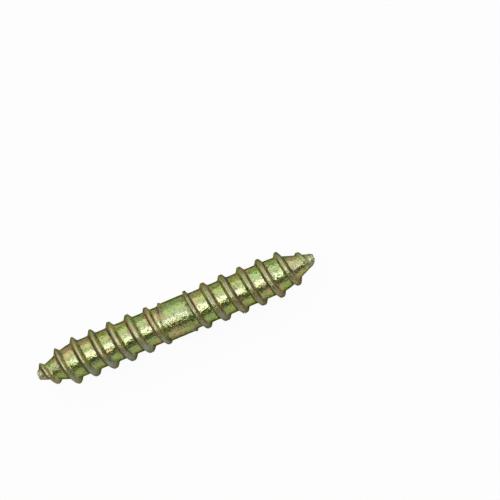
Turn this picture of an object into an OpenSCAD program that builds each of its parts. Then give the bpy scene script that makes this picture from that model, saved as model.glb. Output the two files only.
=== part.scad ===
// Dowel screw: one rolled steel rod with a coarse right-hand wood thread and a point on
// each end, and a plain band between the two threads.
// The axis lies along X, the near point is on the -X side, and the origin is on the axis,
// half way between the two points.

/* [Overall] */
// Length from point to point
overall_length = 39.4; // [34:0.2:60]
// Distance along the axis from one turn of the thread to the next, on both ends
pitch = 2.6; // [2.2:0.05:3]
// Diameter of the core at the bottom of the thread
root_diameter = 4.7; // [4:0.05:4.9]

/* [Near thread] */
// Diameter over the crests of the near thread
near_crest_diameter = 6.1; // [5.6:0.05:6.6]
// How much lower the near crest is beside the band than further out
near_crest_loss = 0.2; // [0:0.01:0.3]
// Width of the near crest at the point
near_crest_width = 0.2; // [0.1:0.02:0.5]
// Diameter of the blunt end of the near point
near_end_diameter = 1; // [0.6:0.05:1.4]
// Part of a turn in which the near ridge rises at the point
near_lead_in_turns = 0.25; // [0.15:0.05:1]
// Angle round the axis at which the near thread starts
near_start_angle = 256; // [0:1:359]

/* [Far thread] */
// Diameter over the crests of the far thread
far_crest_diameter = 5.95; // [5.6:0.05:6.6]
// How much lower the far crest is beside the band than further out
far_crest_loss = 0.06; // [0:0.01:0.3]
// Width of the far crest at the point
far_crest_width = 0.4; // [0.1:0.02:0.5]
// Diameter of the blunt end of the far point
far_end_diameter = 1.3; // [0.6:0.05:1.4]
// Part of a turn in which the far ridge rises at the point
far_lead_in_turns = 0.8; // [0.15:0.05:1]
// Angle round the axis at which the far thread starts
far_start_angle = 277; // [0:1:359]

/* [Plain band] */
// Diameter of the plain band, which the thread rolls left as it was
band_diameter = 5.1; // [5:0.05:5.4]
// Length of the plain band
band_length = 3.5; // [2:0.1:8]
// Distance of the middle of the band from the middle of the screw, towards the far point
band_shift = 0.25; // [-1:0.05:1]
// Length of the slope from the thread's core up to the band
band_slope = 0.25; // [0.1:0.05:0.5]

/* [Points] */
// Length of the tapered part of the core
point_length = 4.75; // [4:0.05:7]
// Length over which the taper rounds into the core
point_rounding = 2.2; // [1:0.1:3]
// Height of the thread above the core where it starts at the point
point_ridge_height = 0.5; // [0.3:0.05:0.8]

/* [Thread ridge] */
// Width of the ridge where it leaves the core, at the point
point_ridge_width = 1.0; // [0.8:0.05:1.3]
// Width of the ridge where it leaves the core, beside the band
band_ridge_width = 1.3; // [1:0.05:1.4]
// Width of the crest towards the band, where the die didn't fill it
band_crest_width = 0.56; // [0.3:0.02:0.7]
// Depth of the rolling seam along the crest, beside the band
seam_depth = 0.09; // [0:0.01:0.15]
// Height of the fillet where a flank meets the core
fillet_height = 0.1; // [0.05:0.01:0.2]
// Length beside the band over which the crest gets lower
crest_loss_length = 6; // [3:0.5:10]

/* [Thread ends] */
// Part of a turn in which the ridge sinks into the band
run_out_turns = 0.75; // [0.5:0.05:1]
// Turns in which the ridge narrows before it sinks
narrowing_turns = 1.5; // [1:0.1:2]

/* [Hidden] */

// Sections of the thread in one turn
turn_sections = 28;
// Points along the curve that rounds the taper into the core
rounding_steps = 4;
// How far a threaded end goes into the band, and the band's ends into the thread's core
joint_depth = 0.6;
core_overlap = 0.2;
// Distance from the blunt end to where the ridge starts
thread_start = 0.4;
// Width and drop of the rounding on each side of the crest
crest_round_width = 0.08;
crest_round_drop = 0.12;
// Angle of the fillet's face from the core
fillet_slope = 38;
// Shares of the full width that the ridge has where it starts and where it ends
start_width_share = 0.6;
end_width_share = 0.42;
// Part of the run-out that is over when the ridge has its end width
narrow_by_share = 2 / 3;
// How late the ridge sinks in its run-out, and how quickly its advance dies away there
sink_power = 4;
advance_power = 3;
// Shares of a blunt end's radius: its flat face, and the length of the chamfer round it
face_share = 0.6;
chamfer_share = 0.35;
// Flats round the plain band
band_sides = 96;

root_r = root_diameter / 2;
band_r = band_diameter / 2;
near_thread_length = (overall_length - band_length) / 2 + band_shift;
far_thread_length = (overall_length - band_length) / 2 - band_shift;

// A share of the way from a to b
function between(a, b, share) = a + (b - a) * min(max(share, 0), 1);

// The value nearest to x that isn't below low or above high
function within(x, low, high) = min(max(x, low), high);

// A point of the quadratic curve that starts at a, ends at c and heads for b
function curve(a, b, c, share) =
    (1 - share) * (1 - share) * a + 2 * share * (1 - share) * b + share * share * c;

// Length of the small chamfer round the blunt end of a point
function chamfer_length(end_r) = chamfer_share * end_r;

// Outline of the core of one end: distance from the point, and radius there
function core_outline(end_r, thread_length) =
    let (chamfer = chamfer_length(end_r),
         taper = (root_r - end_r) / (point_length - chamfer),
         lead = [point_length - point_rounding / 2, root_r - taper * point_rounding / 2],
         corner = [point_length, root_r],
         level = [point_length + point_rounding / 2, root_r])
    [[0, face_share * end_r],
     [chamfer, end_r],
     for (step = [0:rounding_steps]) curve(lead, corner, level, step / rounding_steps),
     [thread_length + joint_depth, root_r]];

// Distance of the ridge's middle from the point after a number of turns. The run-out
// advances less and less, so that the ridge ends along the band.
function run_out_length() = pitch * run_out_turns / advance_power;
function full_turns(thread_length) =
    (thread_length + band_slope / 2 - run_out_length()) / pitch;
function advance(turn, thread_length) =
    let (full = full_turns(thread_length),
         out_share = within((turn - full) / run_out_turns, 0, 1))
    pitch * (min(turn, full) + max(turn - full - run_out_turns, 0))
        + run_out_length() * (1 - pow(1 - out_share, advance_power));

// Radius of the crest, before the ridge fades at its two ends
function crest_radius(distance, crest_r, loss, end_r, thread_length) =
    min(end_r + point_ridge_height
            + (crest_r - end_r - point_ridge_height) * distance / point_length,
        crest_r - loss
            * between(0, 1, 1 - (thread_length - distance) / crest_loss_length));

// Section of the ridge: each point has its place along the axis from the crest's middle,
// its share of the ridge's height, and how far it is moved inwards
function ridge_section(base, crest, height, seam) =
    let (fillet_share = fillet_height / height,
         shoulder = crest + crest_round_width,
         fillet_place = max(base - fillet_height / tan(fillet_slope), (base + shoulder) / 2))
    [[-base, 0, 0],
     [-fillet_place, fillet_share, 0],
     [-shoulder, 1, crest_round_drop],
     [-crest, 1, 0],
     [0, 1, seam],
     [crest, 1, 0],
     [shoulder, 1, crest_round_drop],
     [fillet_place, fillet_share, 0],
     [base, 0, 0]];

// One end of the rod, with its point towards -X: a strip that winds round the axis, one
// pitch wide, with the ridge along its middle
module threaded_end(crest_r, loss, crest_width, end_r, lead_in_turns, start_angle,
                    thread_length) {
    outline = core_outline(end_r, thread_length);
    end_place = thread_length + joint_depth;
    start_turns = start_angle / 360;
    first_turn = thread_start / pitch;
    full = full_turns(thread_length);
    last_turn = full + run_out_turns;
    narrow_turn = full + run_out_turns * narrow_by_share;
    // The strip starts half a turn before the blunt end, and stops inside the band
    first_index = floor((start_turns - 0.5) * turn_sections);
    last_index = ceil((start_turns + last_turn + end_place / pitch - full + 1) * turn_sections);
    // Where a section of the strip meets the section one turn before it
    edges = [
        for (i = [first_index:last_index + turn_sections])
            let (turn = i / turn_sections - start_turns)
            within((advance(turn - 1, thread_length) + advance(turn, thread_length)) / 2,
                   0, end_place)];
    sections = [
        for (i = [first_index:last_index])
            let (turn = i / turn_sections - start_turns,
                 angle = 360 * ((i + turn_sections) % turn_sections) / turn_sections,
                 distance = advance(turn, thread_length),
                 low = edges[i - first_index],
                 high = edges[i - first_index + turn_sections],
                 in_share = between(0, 1, (turn - first_turn) / lead_in_turns),
                 out_share = between(0, 1, (turn - full) / run_out_turns),
                 full_r = crest_radius(distance, crest_r, loss, end_r, thread_length),
                 full_height = max(full_r - lookup(distance, outline), fillet_height),
                 top_r = between(full_r, root_r, pow(out_share, sink_power)),
                 narrow_share = 1 - (narrow_turn - turn) / narrowing_turns,
                 swell = between(start_width_share, 1, in_share)
                     * between(1, end_width_share, narrow_share),
                 share = distance / thread_length,
                 base = between(point_ridge_width, band_ridge_width, share) / 2 * swell,
                 crest = between(crest_width, band_crest_width, share) / 2 * swell,
                 seam = seam_depth * within(share, 0, 1),
                 fade = in_share * (1 - out_share),
                 ridge = ridge_section(base, crest, full_height, seam),
                 // One more point in the gap keeps the chamfer of the blunt end true
                 gap = within(chamfer_length(end_r), low, within(distance - base, low, high)))
            [for (p = concat([[low, 0, 0], [gap, 0, 0]],
                             [for (r = ridge) [within(distance + r[0], low, high), r[1], r[2]]],
                             [[high, 0, 0]]))
                let (core_there = lookup(p[0], outline),
                     height = max(top_r - core_there, 0) * in_share,
                     radius = core_there + height * p[1] - p[2] * fade)
                [p[0] - overall_length / 2, radius * cos(angle), radius * sin(angle)]]];
    width = len(sections[0]);
    strip_points = [for (s = sections) each s];
    blunt_middle = len(strip_points);
    sides = [
        for (i = [0:len(sections) - 2], j = [0:width - 2])
            let (a = width * i + j)
            each [[a, a + 1, a + width + 1], [a, a + width + 1, a + width]]];
    last_ring = len(sections) - 1 - turn_sections;
    blunt_end = [for (i = [0:turn_sections - 1])
        [blunt_middle, width * i, width * (i + 1)]];
    band_end = [for (i = [0:turn_sections - 1])
        [blunt_middle + 1, width * (last_ring + i + 2) - 1, width * (last_ring + i + 1) - 1]];
    points = concat(strip_points,
                    [[-overall_length / 2, 0, 0], [end_place - overall_length / 2, 0, 0]]);
    distinct = [for (f = concat(sides, blunt_end, band_end))
        if (points[f[0]] != points[f[1]] && points[f[1]] != points[f[2]]
            && points[f[2]] != points[f[0]]) f];
    polyhedron(points = points, faces = distinct, convexity = 12);
}

// The plain band, with a slope down into the core of each thread
module band() {
    half = band_length / 2;
    foot_r = root_r - core_overlap;
    translate([band_shift, 0, 0])
        rotate([0, 90, 0])
            rotate_extrude($fn = band_sides)
                polygon([[0, -half - band_slope], [foot_r, -half - band_slope],
                         [band_r, -half], [band_r, half],
                         [foot_r, half + band_slope], [0, half + band_slope]]);
}

module screw() {
    color([0.62, 0.6, 0.32])
        union() {
            band();
            threaded_end(near_crest_diameter / 2, near_crest_loss, near_crest_width,
                         near_end_diameter / 2, near_lead_in_turns, near_start_angle,
                         near_thread_length);
            rotate([0, 0, 180])
                threaded_end(far_crest_diameter / 2, far_crest_loss, far_crest_width,
                             far_end_diameter / 2, far_lead_in_turns, far_start_angle,
                             far_thread_length);
        }
}

screw();
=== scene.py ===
"""Dresses the dowel screw: its rolled thread in full detail, its yellow zinc finish, the floor, the light and the camera.

The screw's axis lies along X, with the near point on the -X side, as in the frame. Lengths are in metres."""
import math
from dataclasses import dataclass

import bpy
import numpy as np
from mathutils import Matrix, Vector, noise


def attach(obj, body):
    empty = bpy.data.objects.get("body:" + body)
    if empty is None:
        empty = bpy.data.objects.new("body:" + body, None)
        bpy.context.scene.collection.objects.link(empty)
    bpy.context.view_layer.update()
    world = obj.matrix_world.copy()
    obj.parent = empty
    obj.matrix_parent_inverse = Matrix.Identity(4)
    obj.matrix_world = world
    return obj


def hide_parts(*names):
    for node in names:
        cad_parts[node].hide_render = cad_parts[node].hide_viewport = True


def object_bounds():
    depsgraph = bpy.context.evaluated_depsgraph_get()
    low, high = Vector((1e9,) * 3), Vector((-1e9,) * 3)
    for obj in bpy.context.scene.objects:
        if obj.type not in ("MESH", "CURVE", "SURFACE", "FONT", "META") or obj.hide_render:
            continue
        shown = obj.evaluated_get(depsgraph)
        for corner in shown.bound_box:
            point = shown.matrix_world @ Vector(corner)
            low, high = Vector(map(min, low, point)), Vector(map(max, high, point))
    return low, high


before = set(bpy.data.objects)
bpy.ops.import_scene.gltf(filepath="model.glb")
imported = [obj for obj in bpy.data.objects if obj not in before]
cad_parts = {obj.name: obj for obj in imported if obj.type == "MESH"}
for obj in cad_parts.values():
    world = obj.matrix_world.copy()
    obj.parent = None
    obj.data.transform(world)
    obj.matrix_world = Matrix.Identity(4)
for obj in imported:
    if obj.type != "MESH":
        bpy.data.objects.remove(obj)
CAD_LOW, CAD_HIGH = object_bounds()

MM = 0.001

# Overall sizes, from the frame
LENGTH = CAD_HIGH.x - CAD_LOW.x
NEAR_CREST_RADIUS = (CAD_HIGH.z - CAD_LOW.z) / 2
FLOOR_HEIGHT = CAD_LOW.z

# Core and thread
PITCH = 2.6 * MM
ROOT_RADIUS = 2.35 * MM
POINT_LENGTH = 4.75 * MM
POINT_ROUNDING = 2.2 * MM
POINT_RIDGE_HEIGHT = 0.5 * MM
POINT_RIDGE_WIDTH = 1.0 * MM
BAND_RIDGE_WIDTH = 1.3 * MM
BAND_CREST_WIDTH = 0.5 * MM
SEAM_DEPTH = 0.07 * MM
START_WIDTH_SHARE = 0.6
END_WIDTH_SHARE = 0.42
RUN_OUT_TURNS = 0.75
NARROWING_TURNS = 1.5
CREST_LOSS_LENGTH = 6 * MM
# Rounding of a ridge's shoulders and feet, as shares of its height
SHOULDER_ROUNDING = 0.2
FOOT_ROUNDING = 0.16
# Where the rust gathers on the flanks, as a share of the half width, and how far it spreads
FOOT_PLACE = 0.74
SEAM_LINE_WIDTH = 0.1 * MM

# Plain band between the threads
BAND_RADIUS = 2.55 * MM
BAND_LENGTH = 3.5 * MM
BAND_SHIFT = 0.25 * MM
BAND_SLOPE = 0.25 * MM
BAND_EASING = 0.55 * MM

# Grid of the screw's skin, along the axis and round it
ROWS = 1040
COLUMNS = 92


@dataclass
class ThreadedEnd:
    """One threaded end of the screw. Distances along it are from its point."""

    crest_radius: float
    crest_loss: float
    crest_width: float
    end_radius: float
    thread_start: float
    start_turns: float
    lead_in_turns: float
    length: float
    lean: float
    foot_spread: float
    tip_wear: float

    @property
    def full_turns(self):
        return (self.length + BAND_SLOPE / 2 - RUN_OUT_LENGTH) / PITCH


RUN_OUT_LENGTH = PITCH * RUN_OUT_TURNS / 3
NEAR_END = ThreadedEnd(
    crest_radius=NEAR_CREST_RADIUS,
    crest_loss=0.2 * MM,
    crest_width=0.12 * MM,
    end_radius=0.66 * MM,
    thread_start=0.25 * MM,
    start_turns=256 / 360,
    lead_in_turns=0.25,
    length=(LENGTH - BAND_LENGTH) / 2 + BAND_SHIFT,
    lean=0.05 * MM,
    foot_spread=0.24 * MM,
    tip_wear=0.1 * MM,
)
FAR_END = ThreadedEnd(
    crest_radius=2.975 * MM,
    crest_loss=0.06 * MM,
    crest_width=0.36 * MM,
    end_radius=0.65 * MM,
    thread_start=0.4 * MM,
    start_turns=277 / 360,
    lead_in_turns=0.8,
    length=(LENGTH - BAND_LENGTH) / 2 - BAND_SHIFT,
    lean=0.22 * MM,
    foot_spread=0.14 * MM,
    tip_wear=0.28 * MM,
)


def between(a, b, share):
    """A share of the way from a to b, no further than either."""
    return a + (b - a) * np.clip(share, 0, 1)


def eased(share):
    """A share from 0 to 1 that starts and ends gently."""
    share = np.clip(share, 0, 1)
    return share * share * (3 - 2 * share)


def core_radius(end, distance):
    """Radius of the core: a small rounded nose, a cone, a rounding and the straight core."""
    nose = 0.35 * end.end_radius
    taper = (ROOT_RADIUS - end.end_radius) / (POINT_LENGTH - nose)
    cone = end.end_radius + taper * (distance - nose)
    nose_share = np.clip(distance / nose, 0, 1)
    cone = np.where(distance < nose, end.end_radius * (0.6 + 0.4 * np.sqrt(1 - (1 - nose_share) ** 2)), cone)
    share = (distance - (POINT_LENGTH - POINT_ROUNDING / 2)) / POINT_ROUNDING
    rounding = ROOT_RADIUS - taper * POINT_ROUNDING / 2 * (1 - np.clip(share, 0, 1)) ** 2
    return np.where(share < 0, cone, rounding)


def advance(end, turn):
    """Distance of the ridge's middle from the point after a number of turns."""
    full = end.full_turns
    out_share = np.clip((turn - full) / RUN_OUT_TURNS, 0, 1)
    straight = PITCH * (np.minimum(turn, full) + np.maximum(turn - full - RUN_OUT_TURNS, 0))
    return straight + RUN_OUT_LENGTH * (1 - (1 - out_share) ** 3)


def ridge_profile(offset, base, crest, seam):
    """Height share of the ridge at an offset from its middle: straight flanks, rounded shoulders,
    soft feet and a seam along the crest."""
    side = np.abs(offset)
    flank = np.maximum(base - crest, 1e-9)

    def rounded(straight):
        below_top = (straight + 1 - np.hypot(straight - 1, SHOULDER_ROUNDING)) / 2
        return (below_top + np.hypot(below_top, FOOT_ROUNDING)) / 2

    height = rounded((base - side) / flank) / rounded(base / flank)
    dip = seam * np.clip(1 - side / np.maximum(0.6 * crest, 1e-9), 0, 1)
    return np.where(side < 1.6 * base, height - dip, 0)


def wound_ridge(end, distance, turns_round):
    """Radius of one threaded end at each place, with the share of the ridge's height there, the
    nearness to a flank, from -1 on the side of the point to 1 on the side of the band, and the
    nearness to the seam."""
    core = core_radius(end, distance)
    radius = core.copy()
    height_share = np.zeros_like(radius)
    foot = np.zeros_like(radius)
    seam_line = np.zeros_like(radius)
    full = end.full_turns
    first_turn = end.thread_start / PITCH
    for whole in range(-1, math.ceil(full) + 2):
        turn = turns_round - end.start_turns + whole
        middle = advance(end, turn)
        in_share = np.clip((turn - first_turn) / end.lead_in_turns, 0, 1)
        out_share = np.clip((turn - full) / RUN_OUT_TURNS, 0, 1)
        shown = (in_share > 0) & (out_share < 1)
        point_crest = end.end_radius + POINT_RIDGE_HEIGHT
        rising = point_crest + (end.crest_radius - point_crest) * middle / POINT_LENGTH
        worn = end.crest_radius - end.crest_loss * np.clip(
            1 - (end.length - middle) / CREST_LOSS_LENGTH, 0, 1)
        crest_radius = np.minimum(rising, worn)
        top = between(crest_radius, ROOT_RADIUS, out_share ** 4)
        narrowing = (turn - (full - NARROWING_TURNS + 0.5)) / NARROWING_TURNS
        swell = between(START_WIDTH_SHARE, 1, in_share) * between(1, END_WIDTH_SHARE, narrowing)
        along = middle / end.length
        base = between(POINT_RIDGE_WIDTH, BAND_RIDGE_WIDTH, along) / 2 * swell
        crest = between(end.crest_width, BAND_CREST_WIDTH, along) / 2 * swell
        height = np.maximum(top - core, 0) * in_share
        seam = SEAM_DEPTH * np.clip(along, 0, 1) / np.maximum(height, 0.1 * MM)
        offset = distance - middle
        profile = np.where(shown, ridge_profile(offset, base, crest, seam), 0)
        here = core + height * profile
        radius = np.maximum(radius, here)
        height_share = np.maximum(height_share, np.clip(profile, 0, 1))
        near_foot = np.exp(-(((np.abs(offset) - base * FOOT_PLACE) / end.foot_spread) ** 2)) * in_share
        near_foot = np.where(shown, near_foot, 0)
        foot = np.where(near_foot > np.abs(foot), near_foot * np.sign(offset), foot)
        near_seam = np.exp(-((offset / (SEAM_LINE_WIDTH / 2)) ** 2)) * np.clip(profile, 0, 1)
        seam_line = np.maximum(seam_line, near_seam)
    return radius, height_share, foot, seam_line


def band_radius(place):
    """Radius of the plain band, with a gentle slope down to the core on each side."""
    beyond = np.abs(place - BAND_SHIFT) - BAND_LENGTH / 2
    share = (beyond + (BAND_EASING - BAND_SLOPE) / 2) / BAND_EASING
    slope = BAND_RADIUS + (ROOT_RADIUS - BAND_RADIUS) * eased(share)
    return np.where(share < 1, slope, 0)


def noise_at(points, scale, octaves):
    """Smooth noise of about -1 to 1 at each point. Scale is in waves per millimetre."""
    factor = scale / MM
    return np.array([noise.fractal(Vector(p) * factor, 0.9, 2.1, octaves) for p in points])


@dataclass
class Patch:
    """A patch of another colour on the skin: where it lies along and round the screw, and its size."""

    place: float
    angle: float
    length: float
    breadth: float


GREEN_PATCHES = [
    Patch(-19.3 * MM, 75, 0.6 * MM, 60),
    Patch(1.0 * MM, 65, 2.0 * MM, 34),
    Patch(-4.3 * MM, 62, 1.0 * MM, 26),
    Patch(-12.2 * MM, 139, 0.8 * MM, 16),
    Patch(-9.3 * MM, 140, 0.8 * MM, 16),
    Patch(-6.7 * MM, 141, 0.8 * MM, 16),
    Patch(-3.9 * MM, 139, 0.8 * MM, 14),
    Patch(4.5 * MM, 139, 0.5 * MM, 14),
    Patch(11.8 * MM, 70, 1.0 * MM, 30),
    Patch(14.7 * MM, 72, 1.1 * MM, 40),
    Patch(17.2 * MM, 75, 1.1 * MM, 34),
]
ROSY_PATCHES = [
    Patch(-14.9 * MM, 46, 0.7 * MM, 14),
    Patch(-12.3 * MM, 48, 0.7 * MM, 16),
    Patch(-9.5 * MM, 34, 0.8 * MM, 7),
    Patch(-0.4 * MM, 40, 0.5 * MM, 6),
    Patch(2.0 * MM, 40, 0.5 * MM, 10),
    Patch(4.4 * MM, 46, 0.4 * MM, 16),
    Patch(-0.4 * MM, 156, 1.6 * MM, 15),
    Patch(16.9 * MM, 60, 0.5 * MM, 50),
]
# A painted highlight: a pale band along the top of the screw, where the softbox is reflected
PAINTED_HIGHLIGHT_PATCHES = [Patch(0, 94, 30 * MM, 15)]
# A painted reflection: the ridges are painted greyer low on the front, where they reflect the pale floor
PAINTED_REFLECTION_PATCHES = [Patch(-6 * MM, 158, 16 * MM, 34)]


def patch_share(patches, place, angle):
    """How strongly the patches cover each place on the skin, from 0 to 1."""
    cover = np.zeros_like(place)
    for patch in patches:
        along = (place - patch.place) / patch.length
        round_it = (np.degrees(angle) - patch.angle) / patch.breadth
        cover = np.maximum(cover, np.exp(-(along ** 2 + round_it ** 2)))
    return cover


def skin_points():
    """Points of the screw's skin by row and column, and what its finish needs to know at each."""
    place = np.linspace(-LENGTH / 2, LENGTH / 2, ROWS)[:, None]
    angle = np.linspace(0, 2 * math.pi, COLUMNS, endpoint=False)[None, :]
    place = place + 0 * angle
    angle = angle + 0 * place
    near = wound_ridge(NEAR_END, place + LENGTH / 2, angle / (2 * math.pi))
    far = wound_ridge(FAR_END, LENGTH / 2 - place, ((math.pi - angle) / (2 * math.pi)) % 1)
    on_near = place < BAND_SHIFT
    radius, height_share, foot, seam_line = (np.where(on_near, n, f) for n, f in zip(near, far))
    band = band_radius(place)
    on_band = band > radius
    height_share = np.where(on_band, 0, height_share)
    radius = np.maximum(radius, band)
    flat = np.stack([place, radius * np.cos(angle), radius * np.sin(angle)], axis=-1).reshape(-1, 3)

    coarse = noise_at(flat, 0.9, 3).reshape(place.shape)
    fine = noise_at(flat + 0.05, 3.2, 3).reshape(place.shape)
    tip_distance = np.minimum(place + LENGTH / 2, LENGTH / 2 - place)
    pits = np.clip(fine - 0.22, 0, 1) * (1 - eased(height_share * 1.6))
    radius = radius - pits * 0.07 * MM - np.clip(coarse, 0, 1) * 0.02 * MM
    crest_nicks = eased((height_share - 0.75) / 0.25) * np.clip(coarse + 0.6 * fine, 0, 1)
    radius = radius - crest_nicks * 0.04 * MM
    ragged = np.clip(1 - tip_distance / (0.9 * MM), 0, 1)
    radius = radius * (1 + 0.3 * ragged * fine)
    tip_wear = np.where(place < 0, NEAR_END.tip_wear, FAR_END.tip_wear)
    inward = ragged ** 2 * np.clip(0.5 + coarse + fine, 0, 1) * tip_wear
    place = place - np.sign(place) * inward
    lean = np.where(place < 0, NEAR_END.lean, FAR_END.lean) * np.clip(1 - tip_distance / POINT_LENGTH, 0, 1) ** 2
    points = np.stack([place, radius * np.cos(angle) + lean, radius * np.sin(angle)], axis=-1)
    return points.reshape(-1, 3), {
        "ridge": height_share.ravel(),
        "foot": foot.ravel(),
        "seam": seam_line.ravel(),
        "band": on_band.astype(float).ravel(),
        "far": eased(place / LENGTH + 0.5).ravel(),
        "green": patch_share(GREEN_PATCHES, place, angle).ravel(),
        "rosy": patch_share(ROSY_PATCHES, place, angle).ravel(),
        # Among these, a painted highlight along the top and a painted floor reflection low on the ridges
        "painted_highlight": patch_share(PAINTED_HIGHLIGHT_PATCHES, place, angle).ravel(),
        "painted_reflection": patch_share(PAINTED_REFLECTION_PATCHES, place, angle).ravel(),
        "pit": pits.ravel(),
        "tip": np.clip(1 - tip_distance / (1.1 * MM), 0, 1).ravel(),
    }


def grid_faces():
    """Faces of the skin: quads all round, and a fan over each blunt end."""
    faces = []
    for row in range(ROWS - 1):
        start = row * COLUMNS
        for column in range(COLUMNS):
            after = (column + 1) % COLUMNS
            faces.append((start + column, start + after, start + COLUMNS + after, start + COLUMNS + column))
    last = (ROWS - 1) * COLUMNS
    near_middle = ROWS * COLUMNS
    far_middle = near_middle + 1
    for column in range(COLUMNS):
        after = (column + 1) % COLUMNS
        faces.append((near_middle, after, column))
        faces.append((far_middle, last + column, last + after))
    return faces


def make_screw():
    """The whole screw as one closed skin, in place of the frame's solid."""
    points, facts = skin_points()
    near_middle = points[:COLUMNS].mean(axis=0)
    far_middle = points[-COLUMNS:].mean(axis=0)
    mesh = bpy.data.meshes.new("rolled_screw")
    mesh.from_pydata(np.vstack([points, near_middle, far_middle]).tolist(), [], grid_faces())
    for name, values in facts.items():
        attribute = mesh.attributes.new(name, "FLOAT", "POINT")
        attribute.data.foreach_set("value", np.append(values, [0, 0]).astype(np.float32))
    mesh.shade_smooth()
    screw = bpy.data.objects.new("rolled_screw", mesh)
    bpy.context.scene.collection.objects.link(screw)
    return screw


class Nodes:
    """A short way to build a node tree: each call adds one node and returns it."""

    def __init__(self, tree):
        self.tree = tree

    def add(self, kind, inputs=None, **settings):
        node = self.tree.nodes.new(kind)
        for name, value in settings.items():
            setattr(node, name, value)
        for name, value in (inputs or {}).items():
            self.feed(node.inputs[name], value)
        return node

    def feed(self, socket, value):
        if isinstance(value, bpy.types.NodeSocket):
            self.tree.links.new(value, socket)
        else:
            socket.default_value = value

    def math(self, operation, a, b=0.0, clamp=False):
        node = self.add("ShaderNodeMath", {0: a, 1: b}, operation=operation, use_clamp=clamp)
        return node.outputs[0]

    def mix(self, factor, a, b, blend="MIX"):
        node = self.add("ShaderNodeMix", data_type="RGBA", blend_type=blend)
        self.feed(node.inputs[0], factor)
        self.feed(node.inputs[6], a)
        self.feed(node.inputs[7], b)
        return node.outputs[2]

    def noise(self, vector, scale, detail=3.0, roughness=0.55):
        node = self.add(
            "ShaderNodeTexNoise", {"Vector": vector, "Scale": scale, "Detail": detail, "Roughness": roughness})
        return node.outputs["Fac"]

    def ramp(self, value, stops):
        node = self.add("ShaderNodeValToRGB", {"Fac": value})
        points = node.color_ramp.elements
        while len(points) < len(stops):
            points.new(0.5)
        for point, (position, colour) in zip(points, stops):
            point.position = position
            point.color = colour if len(colour) == 4 else (*colour, 1)
        return node.outputs["Color"]

    def span(self, value, low, high, to_low=0.0, to_high=1.0):
        node = self.add(
            "ShaderNodeMapRange",
            {"Value": value, "From Min": low, "From Max": high, "To Min": to_low, "To Max": to_high})
        return node.outputs["Result"]

    def attribute(self, name):
        return self.add("ShaderNodeAttribute", attribute_name=name).outputs["Fac"]


# Colours of the finish
OLIVE = (0.38, 0.39, 0.05)
GREEN = (0.31, 0.47, 0.06)
STRAW = (0.51, 0.46, 0.09)
PINK = (0.51, 0.31, 0.19)
RUST = (0.42, 0.18, 0.08)
OCHRE = (0.38, 0.33, 0.06)
DARK = (0.08, 0.085, 0.04)
GREY = (0.20, 0.20, 0.12)
MOSS = (0.33, 0.36, 0.08)
SILVER = (0.52, 0.53, 0.44)
ROSE = (0.44, 0.38, 0.27)
STEEL = (0.30, 0.32, 0.27)
LEAF = (0.29, 0.46, 0.11)
# Colour of the painted highlight along the top
PAINTED_HIGHLIGHT_COLOUR = (0.37, 0.40, 0.22)
# Colour of the painted floor reflection low on the ridges
PAINTED_REFLECTION_COLOUR = (0.28, 0.29, 0.21)
EDGE_TINT = (0.06, 0.07, 0.06, 1)


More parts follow.
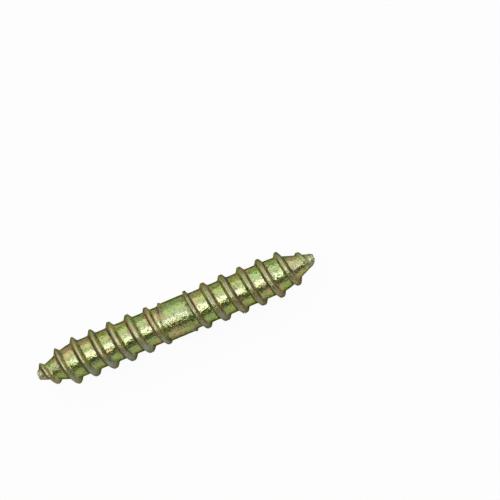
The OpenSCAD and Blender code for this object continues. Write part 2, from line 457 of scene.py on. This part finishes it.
def zinc_material():
    """Yellow chromate over zinc on rolled steel: olive and green metal with pink patches, rusty
    lines at the feet of the ridges and worn silvery crests, with a painted highlight along the top
    and a painted reflection of the floor low on the front of the ridges."""
    material = bpy.data.materials.new("yellow_zinc")
    material.use_nodes = True
    tree = material.node_tree
    tree.nodes.clear()
    n = Nodes(tree)
    place = n.add("ShaderNodeTexCoord").outputs["Object"]
    mm = n.add("ShaderNodeVectorMath", {0: place, 1: (1000, 1000, 1000)}, operation="MULTIPLY").outputs[0]
    lengthways = n.add("ShaderNodeVectorMath", {0: mm, 1: (6, 0.7, 0.7)}, operation="MULTIPLY").outputs[0]

    patches = n.noise(mm, 0.42, 4, 0.6)
    blotches = n.noise(mm, 1.3, 4, 0.62)
    mottle = n.noise(mm, 3.2, 2, 0.6)
    lines = n.noise(lengthways, 1.6, 2, 0.6)
    ridge = n.attribute("ridge")
    foot = n.attribute("foot")
    seam = n.attribute("seam")
    band = n.attribute("band")
    far = n.attribute("far")
    pit = n.attribute("pit")
    tip = n.attribute("tip")
    cloud = n.span(blotches, 0.35, 0.6, 0.5, 1.3)
    green = n.math("MULTIPLY", n.attribute("green"), cloud, True)
    rosy = n.math("MULTIPLY", n.attribute("rosy"), cloud, True)

    film = n.math("ADD", n.math("MULTIPLY", patches, 0.6), n.math("MULTIPLY", blotches, 0.4))
    colour = n.ramp(film, [
        (0.36, PINK), (0.42, STRAW), (0.48, OLIVE), (0.53, GREEN), (0.61, OLIVE), (0.67, PINK)])
    colour = n.mix(n.math("MULTIPLY", green, 0.85), colour, (*LEAF, 1))
    colour = n.mix(n.math("MULTIPLY", rosy, 0.75), colour, (*PINK, 1))
    # Painted highlight: the top is paler where the softbox is reflected, mottled, with fewer dark specks there
    painted_highlight = n.math("MULTIPLY", n.attribute("painted_highlight"), n.span(mottle, 0.34, 0.5, 0.45, 1))
    colour = n.mix(painted_highlight, colour, (*PAINTED_HIGHLIGHT_COLOUR, 1))
    speckle = n.math("MULTIPLY", n.span(mottle, 0.34, 0.46, 1, 0), n.span(painted_highlight, 0, 1, 0.6, 0.25))
    colour = n.mix(speckle, colour, (*DARK, 1))

    flank = n.span(ridge, 0.25, 0.6)
    band_side = n.span(foot, -0.05, 0.05)
    flank_colour = n.mix(band_side, (*GREY, 1), (*MOSS, 1))
    colour = n.mix(n.math("MULTIPLY", flank, 0.65), colour, flank_colour)

    # Painted reflection: the ridges greyer low on the front, where they reflect the pale floor
    painted_reflection = n.math("MULTIPLY", n.attribute("painted_reflection"), n.span(ridge, 0.1, 0.4, 0, 0.85))

    foot_size = n.math("ABSOLUTE", foot)
    stain = n.mix(band_side, (*RUST, 1), (*OCHRE, 1))
    stain = n.mix(n.span(blotches, 0.45, 0.6), stain, (*DARK, 1))
    stained = n.math("MULTIPLY", foot_size, n.span(blotches, 0.3, 0.5, 0.45, 1))
    colour = n.mix(stained, colour, stain)
    colour = n.mix(painted_reflection, colour, (*PAINTED_REFLECTION_COLOUR, 1))

    crest = n.span(ridge, 0.975, 0.995)
    worn = n.math("MULTIPLY", crest, n.span(mottle, 0.38, 0.56, 0.4, 1))
    colour = n.mix(worn, colour, n.mix(n.span(far, 0.5, 0.7), (*SILVER, 1), (*ROSE, 1)))
    dark_seam = n.math("MULTIPLY", seam, n.span(far, 0.35, 0.6, 0, 0.7))
    colour = n.mix(dark_seam, colour, (*DARK, 1))
    colour = n.mix(n.math("MULTIPLY", pit, 1.6, True), colour, (*DARK, 1))
    colour = n.mix(n.math("MULTIPLY", tip, 0.45), colour, (*STEEL, 1))

    metal = n.span(foot_size, 0.1, 0.9, 1, 0.65)
    facing = n.add("ShaderNodeLayerWeight", {"Blend": 0.5}).outputs["Facing"]
    flank_roughness = n.math("MULTIPLY", flank, n.span(worn, 0, 1, 0.26, 0.06))
    roughness = n.math("ADD", n.span(mottle, 0.3, 0.7, 0.12, 0.28), flank_roughness)
    line_height = n.math("MULTIPLY", lines, n.span(band, 0, 1, 0.4, 1.1))
    height = n.math("ADD", n.math("MULTIPLY", mottle, 0.9), line_height)
    bump = n.add("ShaderNodeBump", {"Height": height, "Strength": 1.0, "Distance": 0.08 * MM})
    shader = n.add("ShaderNodeBsdfPrincipled", {
        "Base Color": colour,
        "Metallic": metal,
        "Roughness": roughness,
        "Specular Tint": EDGE_TINT,
        "Coat Weight": n.span(facing, 0.25, 0.65, 1, 0),
        "Coat IOR": 1.8,
        "Coat Roughness": 0.12,
        "Normal": bump.outputs[0],
        "Coat Normal": bump.outputs[0],
    })
    n.add("ShaderNodeOutputMaterial", {"Surface": shader.outputs[0]})
    return material


# Stage
FLOOR_SIZE = 6.0
FLOOR_WHITE = (0.6, 0.6, 0.6, 1)
BACKGROUND_SHARE = 0.94
MIRRORED_SHARE = 0.1


def floor_material():
    """A white floor that keeps part of the screw's shadow. Glass sees it as white too, and mirrors see it lit,
    with a tenth of that white.
    """
    material = bpy.data.materials.new("white_floor")
    material.use_nodes = True
    tree = material.node_tree
    tree.nodes.clear()
    n = Nodes(tree)
    path = n.add("ShaderNodeLightPath").outputs
    seen = n.math("MAXIMUM", path["Is Camera Ray"], path["Is Transmission Ray"])
    share = n.math("MULTIPLY", seen, BACKGROUND_SHARE)
    share = n.math("MAXIMUM", share, n.math("MULTIPLY", path["Is Glossy Ray"], MIRRORED_SHARE))
    matt = n.add("ShaderNodeBsdfDiffuse", {"Color": FLOOR_WHITE})
    white = n.add("ShaderNodeEmission", {"Color": (1, 1, 1, 1), "Strength": 1.0})
    mixed = n.add("ShaderNodeMixShader", {0: share, 1: matt.outputs[0], 2: white.outputs[0]})
    n.add("ShaderNodeOutputMaterial", {"Surface": mixed.outputs[0]})
    return material


def make_floor():
    half = FLOOR_SIZE / 2
    corners = [(-half, -half, 0), (half, -half, 0), (half, half, 0), (-half, half, 0)]
    mesh = bpy.data.meshes.new("floor")
    mesh.from_pydata(corners, [], [(0, 1, 2, 3)])
    mesh.materials.append(floor_material())
    floor = bpy.data.objects.new("floor", mesh)
    floor.location.z = FLOOR_HEIGHT
    bpy.context.scene.collection.objects.link(floor)


def grey(level):
    return (level, level, level)


def make_world():
    """A pale room. Its level changes from the back to the front, so that the metal has something to
    reflect, and it is white behind everything near the horizon."""
    world = bpy.data.worlds.new("studio")
    bpy.context.scene.world = world
    world.use_nodes = True
    tree = world.node_tree
    tree.nodes.clear()
    n = Nodes(tree)
    direction = n.add("ShaderNodeTexCoord").outputs["Generated"]
    parts = n.add("ShaderNodeSeparateXYZ", {0: direction}).outputs
    forward = n.math("MULTIPLY", parts["Y"], -1.0)
    angle = n.math("ARCTAN2", forward, parts["Z"])
    turn = n.span(angle, -math.pi / 2, math.pi / 2)
    room = n.ramp(turn, [
        (0.00, grey(0.1)), (0.10, grey(0.6)), (0.17, grey(1.6)), (0.32, grey(1.2)), (0.62, grey(0.8)),
        (0.66, grey(0.12)), (0.83, grey(0.09)), (0.90, grey(0.4)), (1.00, grey(0.8))])
    path = n.add("ShaderNodeLightPath").outputs
    seen = n.math("MAXIMUM", path["Is Camera Ray"], path["Is Transmission Ray"])
    low = n.math("MULTIPLY", path["Is Glossy Ray"], n.span(parts["Z"], 0.0, 0.05, 1, 0))
    colour = n.mix(n.math("MAXIMUM", seen, low), room, (1, 1, 1, 1))
    background = n.add("ShaderNodeBackground", {"Color": colour, "Strength": 1.0})
    n.add("ShaderNodeOutputWorld", {"Surface": background.outputs[0]})


# Softbox overhead: its distance, and how far it reaches to the back and to the front of the zenith
SOFTBOX_HEIGHT = 0.6
SOFTBOX_BACK = math.radians(4)
SOFTBOX_FRONT = math.radians(25)
SOFTBOX_LENGTH = 0.6
SOFTBOX_RADIANCE = 2.9


def make_softbox():
    back = SOFTBOX_HEIGHT * math.tan(SOFTBOX_BACK)
    front = SOFTBOX_HEIGHT * math.tan(SOFTBOX_FRONT)
    light = bpy.data.lights.new("softbox", "AREA")
    light.shape = "RECTANGLE"
    light.size = SOFTBOX_LENGTH
    light.size_y = back + front
    light.energy = SOFTBOX_RADIANCE * math.pi * light.size * light.size_y
    lamp = bpy.data.objects.new("softbox", light)
    lamp.location = (0, (back - front) / 2, SOFTBOX_HEIGHT)
    bpy.context.scene.collection.objects.link(lamp)


# Camera. The two points of the screw are at these pixels of a picture of 500 by 500 pixels
PICTURE_SIZE = 500
NEAR_POINT_PIXEL = Vector((37.75, 376.15))
FAR_POINT_PIXEL = Vector((313.85, 259.75))
# Direction from the screw to the camera, in degrees
VIEW_AZIMUTH = 38.6
VIEW_ELEVATION = 78.0
LENS = 138.0
SENSOR = 36.0


def make_camera():
    """A camera above the screw, turned and placed so that both points fall on their pixels."""
    azimuth, elevation = math.radians(VIEW_AZIMUTH), math.radians(VIEW_ELEVATION)
    toward = Vector((
        math.sin(azimuth) * math.cos(elevation), -math.cos(azimuth) * math.cos(elevation), math.sin(elevation)))
    axis = Vector((1, 0, 0))
    flat_axis = (axis - toward * axis.dot(toward)).normalized()
    flat_across = toward.cross(flat_axis)
    run = FAR_POINT_PIXEL - NEAR_POINT_PIXEL
    slope = math.atan2(-run.y, run.x)
    right = flat_axis * math.cos(slope) - flat_across * math.sin(slope)
    up = flat_axis * math.sin(slope) + flat_across * math.cos(slope)
    shown_length = LENGTH * math.sqrt(1 - axis.dot(toward) ** 2)
    pixel = shown_length / run.length
    middle = (NEAR_POINT_PIXEL + FAR_POINT_PIXEL) / 2
    distance = pixel * PICTURE_SIZE * LENS / SENSOR
    place = toward * distance
    aim = right * (PICTURE_SIZE / 2 - middle.x) * pixel + up * (middle.y - PICTURE_SIZE / 2) * pixel
    back = (place - aim).normalized()
    side = (right - back * right.dot(back)).normalized()
    rows = Matrix((side, back.cross(side), back)).transposed()
    data = bpy.data.cameras.new("camera")
    data.lens = LENS
    data.sensor_width = SENSOR
    data.clip_start = 0.01
    data.clip_end = 20
    camera = bpy.data.objects.new("camera", data)
    camera.matrix_world = Matrix.Translation(place) @ rows.to_4x4()
    bpy.context.scene.collection.objects.link(camera)
    bpy.context.scene.camera = camera


screw = make_screw()
screw.data.materials.append(zinc_material())
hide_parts("screw")
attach(screw, "root")
make_floor()
make_world()
make_softbox()
make_camera()
bpy.context.scene.view_settings.view_transform = "Standard"
